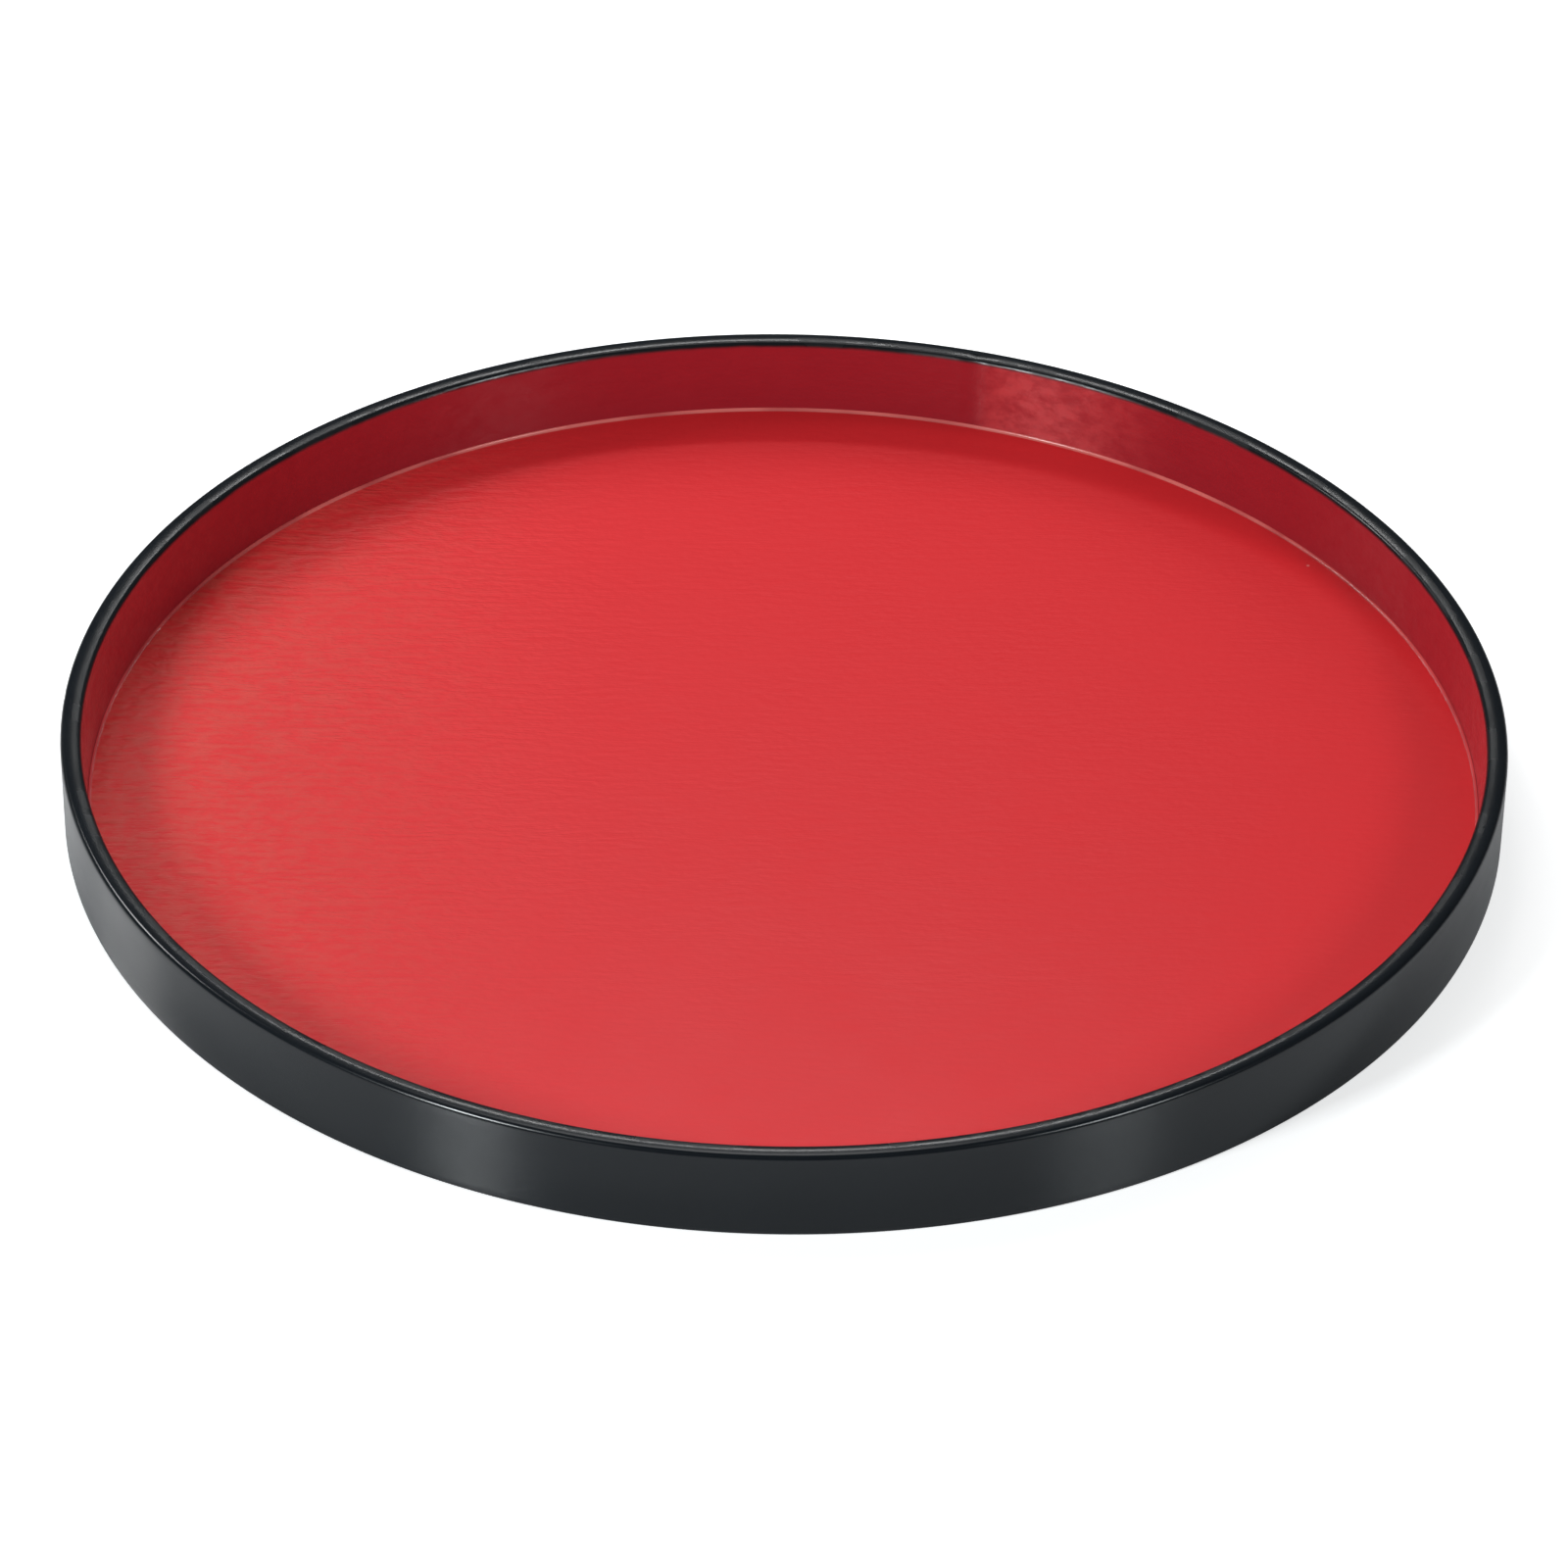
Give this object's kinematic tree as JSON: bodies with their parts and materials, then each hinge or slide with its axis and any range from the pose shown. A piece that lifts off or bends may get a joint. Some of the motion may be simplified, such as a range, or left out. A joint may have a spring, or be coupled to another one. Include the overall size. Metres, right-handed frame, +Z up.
{
  "type": "serving tray",
  "caption": "Round low-walled serving tray with a bent wooden hoop, black outside and on the rim and red inside, round a flat red floor.",
  "frame": {"origin": "middle of the plane that the tray stands on", "axes": "+Z up, along the tray's round axis; the wall opens upwards"},
  "size_m": [0.363, 0.363, 0.0238],
  "materials": {
    "black_lacquer": "satin black lacquer on bent wood",
    "red_lacquer": "satin vermilion lacquer on bent wood, black on the rim",
    "floor_lacquer": "matt vermilion lacquer with fine brush marks on veneer",
    "core_wood": "bare plywood",
    "underside_lacquer": "matt black lacquer on veneer",
    "filler_lacquer": "hardened filler paste under satin vermilion lacquer"
  },
  "bodies": {
    "root": {"outer_hoop_ply": "black_lacquer", "inner_hoop_ply": "red_lacquer", "corner_filler_bead": "filler_lacquer", "floor_veneer": "floor_lacquer", "base_core_board": "core_wood", "backing_veneer": "underside_lacquer"}
  },
  "joints": []
}
